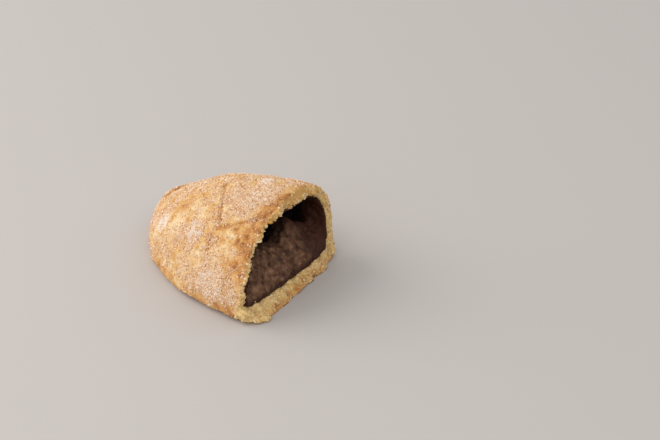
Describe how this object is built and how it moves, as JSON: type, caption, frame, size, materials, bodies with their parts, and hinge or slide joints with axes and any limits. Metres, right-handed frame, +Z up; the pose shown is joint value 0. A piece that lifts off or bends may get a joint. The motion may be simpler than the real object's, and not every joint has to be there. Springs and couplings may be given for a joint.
{
  "type": "broken empanada half",
  "caption": "Half of a small baked sweet empanada, broken across: a domed half-moon pastry case with a dark filling and an air space under its top.",
  "frame": {"origin": "middle of the footprint, on the surface it rests on", "axes": "+Z up; the broken face looks to +X and the tip points to -X; the folded side is at +Y and the sealed curved edge at -Y"},
  "size_m": [0.0692, 0.0522, 0.0318],
  "materials": {
    "pastry": "baked shortcrust, dry, with cinnamon sugar on its outside and pale crumb where it is broken",
    "filling": "thick dark chocolate paste, slightly moist"
  },
  "bodies": {
    "root": {"crust": "pastry", "filling": "filling"}
  },
  "joints": []
}
